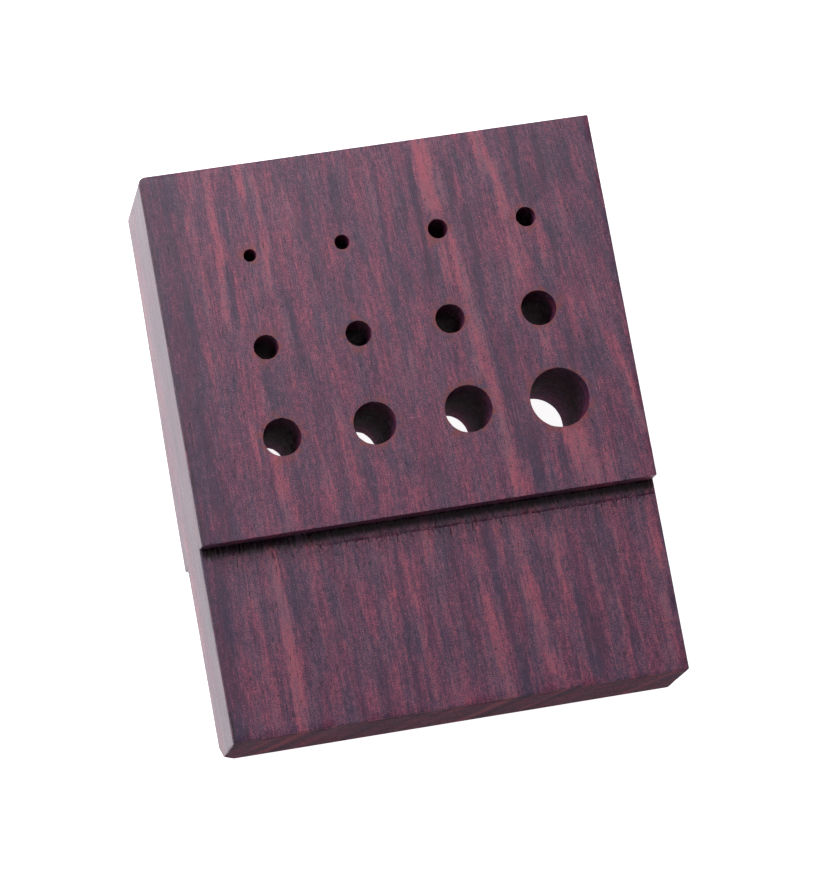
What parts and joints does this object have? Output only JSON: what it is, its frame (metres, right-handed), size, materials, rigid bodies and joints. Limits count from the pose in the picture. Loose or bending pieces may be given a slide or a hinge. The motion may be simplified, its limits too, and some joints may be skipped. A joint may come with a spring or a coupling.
{
  "type": "jeweller's wooden draw plate",
  "caption": "Thick hardwood board with graduated through holes for drawing wire or woven chain down in size, and a thinner tongue at one end for clamping in a vice.",
  "frame": {"origin": "middle of the board's box, at the level of the back face that it lies on", "axes": "+X across the board, +Y from the tongue's end to the small holes' end, +Z along the holes and out of the front face"},
  "size_m": [0.076, 0.0936, 0.0254],
  "materials": {
    "rosewood": "dark reddish purple hardwood, planed and lightly oiled, with a soft sheen; sides and end bare"
  },
  "bodies": {
    "root": {"draw_plate": "rosewood"}
  },
  "joints": []
}
